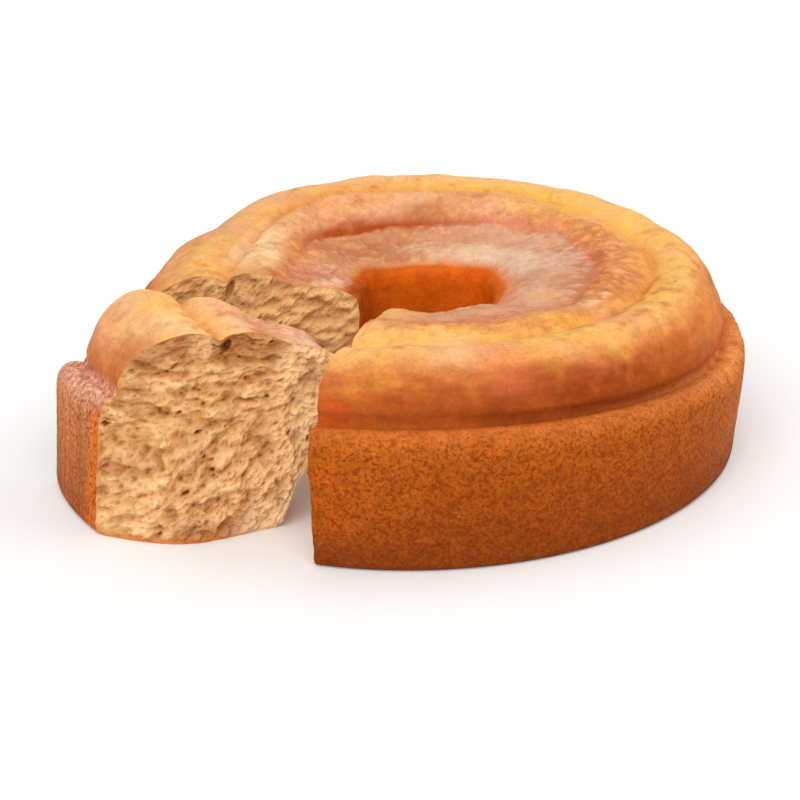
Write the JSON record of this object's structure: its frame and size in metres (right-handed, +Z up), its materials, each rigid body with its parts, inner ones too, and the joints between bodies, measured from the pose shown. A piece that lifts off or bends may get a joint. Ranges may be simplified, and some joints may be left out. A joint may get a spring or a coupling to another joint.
{
  "type": "orange ring cake with a cut slice",
  "caption": "Ring-shaped orange cake with a flared crust wall, a ledge under a rolled risen top and a centre hole; a cut slice stands drawn out in the gap.",
  "frame": {"origin": "centre of the whole cake's bounding box, on the surface it stands on", "axes": "+Z up out of the top of the cake, -Y towards the cut side, +X to the right as seen from the cut side"},
  "size_m": [0.2628, 0.2378, 0.0824],
  "materials": {
    "crust": "baked golden to orange-brown crust, dry and finely porous",
    "crumb": "open tan sponge crumb with a thin browned crust"
  },
  "bodies": {
    "root": {"ring": "crust", "slice": "crumb"}
  },
  "joints": []
}
